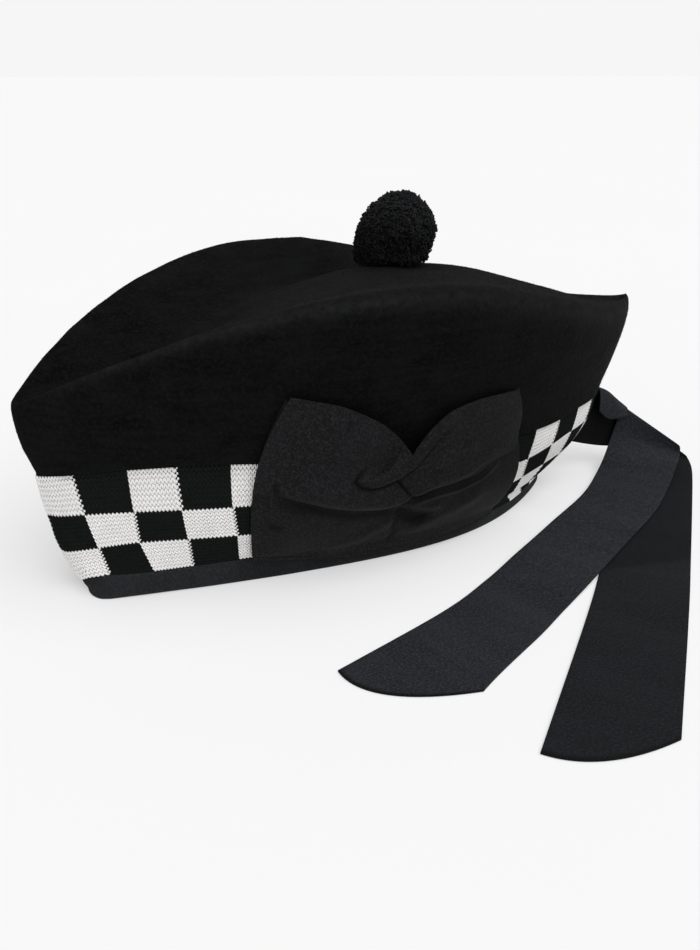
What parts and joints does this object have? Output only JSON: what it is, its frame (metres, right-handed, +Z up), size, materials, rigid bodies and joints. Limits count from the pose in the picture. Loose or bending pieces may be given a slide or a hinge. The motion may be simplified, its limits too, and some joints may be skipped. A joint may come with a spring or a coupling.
{
  "type": "glengarry cap",
  "caption": "Boat-shaped felt cap with a creased top, chequered knitted band, pompom, side cockade and ribbon tails, standing on its rim.",
  "frame": {"origin": "middle of the head opening, in the plane that the rim stands on", "axes": "+Z up from the rim to the crown, -X to the front of the cap, -Y to the wearer's left with the cockade"},
  "size_m": [0.3519, 0.2704, 0.1588],
  "materials": {
    "felt": "matte black wool felt",
    "knit": "knitted wool in black and white chequers",
    "binding": "black ribbed ribbon folded over the rim",
    "yarn": "black wool yarn",
    "ribbon": "black ribbed ribbon with a slight sheen"
  },
  "bodies": {
    "root": {"crown": "felt", "dicing_band": "knit", "edge_binding": "binding", "toorie": "yarn", "cockade_under": "ribbon", "cockade_left_loop": "ribbon", "cockade_right_loop": "ribbon", "back_tie": "ribbon", "tail_over": "ribbon", "tail_under": "ribbon"}
  },
  "joints": []
}
